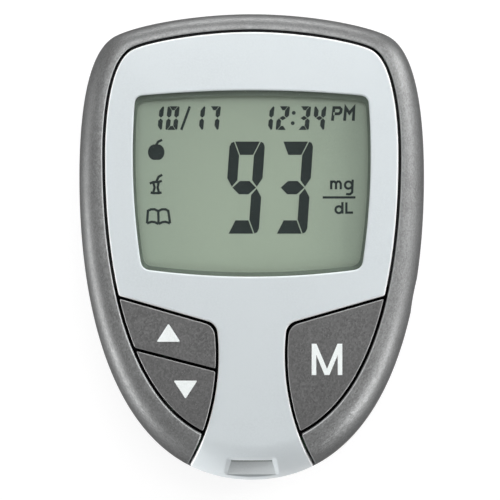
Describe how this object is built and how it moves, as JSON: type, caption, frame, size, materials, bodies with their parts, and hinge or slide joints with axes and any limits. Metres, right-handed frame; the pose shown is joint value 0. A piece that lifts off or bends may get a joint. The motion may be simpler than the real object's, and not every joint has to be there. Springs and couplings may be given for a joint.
{
  "type": "blood glucose meter",
  "caption": "Pocket blood glucose meter: egg-shaped case with a display under a clear window, sprung keys, a test strip port, a data jack and a sliding battery door.",
  "frame": {"origin": "middle of the rest face under the back cover", "axes": "+Z out of the display, +Y to the top end of the face, +X to the right as it is read"},
  "size_m": [0.057, 0.077, 0.0229],
  "materials": {
    "bezel_paint": "metallic grey paint on moulded ABS, satin",
    "back_shell": "fine spark texture, dark grey",
    "face_plastic": "pale cool grey, smooth satin",
    "black_plastic": "moulded black",
    "window_acrylic": "clear hard-coated acrylic",
    "foam": "closed-cell foam",
    "display_film": "grey-green polariser film",
    "display_glass": "thin ground glass",
    "reflector": "silver diffuse film",
    "white_plastic": "moulded white",
    "zebra_rubber": "layered conductive rubber",
    "board_laminate": "green solder mask",
    "chip_resin": "moulded resin",
    "ceramic": "fired ceramic",
    "port_plastic": "glass-filled orange",
    "gold_plate": "gold-plated spring",
    "steel": "bright nickel-plated",
    "silicone": "moulded silicone",
    "carbon": "conductive carbon rubber"
  },
  "bodies": {
    "case": {"back_cover": "back_shell", "bezel": "bezel_paint", "faceplate": "face_plastic", "front_chassis": "black_plastic", "display_window": "window_acrylic", "window_gasket": "foam", "front_polariser": "display_film", "lcd_front_glass": "display_glass", "lcd_back_glass": "display_glass", "rear_reflector": "reflector", "lcd_holder": "white_plastic", "upper_zebra_strip": "zebra_rubber", "lower_zebra_strip": "zebra_rubber", "circuit_board": "board_laminate", "microcontroller": "chip_resin", "measuring_chip": "chip_resin", "memory_chip": "chip_resin", "clock_crystal": "steel", "chip_capacitors": "ceramic", "chip_resistors": "chip_resin", "temperature_sensor": "chip_resin", "beeper": "black_plastic", "strip_port": "port_plastic", "strip_contacts": "gold_plate", "data_jack": "black_plastic", "jack_pins": "steel", "battery_tray": "black_plastic", "negative_contact": "steel", "positive_contact": "steel", "link_contact": "steel", "left_cell": "steel", "right_cell": "steel", "case_screws": "steel", "keypad_mat": "silicone", "up_dome": "silicone", "down_dome": "silicone", "memory_dome": "silicone"},
    "up_key": {"up_key": "bezel_paint", "up_pill": "carbon"},
    "down_key": {"down_key": "bezel_paint", "down_pill": "carbon"},
    "memory_key": {"memory_key": "bezel_paint", "memory_pill": "carbon"},
    "battery_door": {"battery_door": "back_shell"}
  },
  "joints": [
    {"name": "up_press", "type": "slide", "parent": "case", "child": "up_key", "axis": [0, 0, -1], "range_m": [0, 0.0008], "stiffness_N_per_m": 1500, "deforming": ["up_dome"]},
    {"name": "down_press", "type": "slide", "parent": "case", "child": "down_key", "axis": [0, 0, -1], "range_m": [0, 0.0008], "stiffness_N_per_m": 1500, "deforming": ["down_dome"]},
    {"name": "memory_press", "type": "slide", "parent": "case", "child": "memory_key", "axis": [0, 0, -1], "range_m": [0, 0.0008], "stiffness_N_per_m": 1500, "deforming": ["memory_dome"]},
    {"name": "door_slide", "type": "slide", "parent": "case", "child": "battery_door", "axis": [0, 1, 0], "range_m": [0, 0.026]}
  ]
}
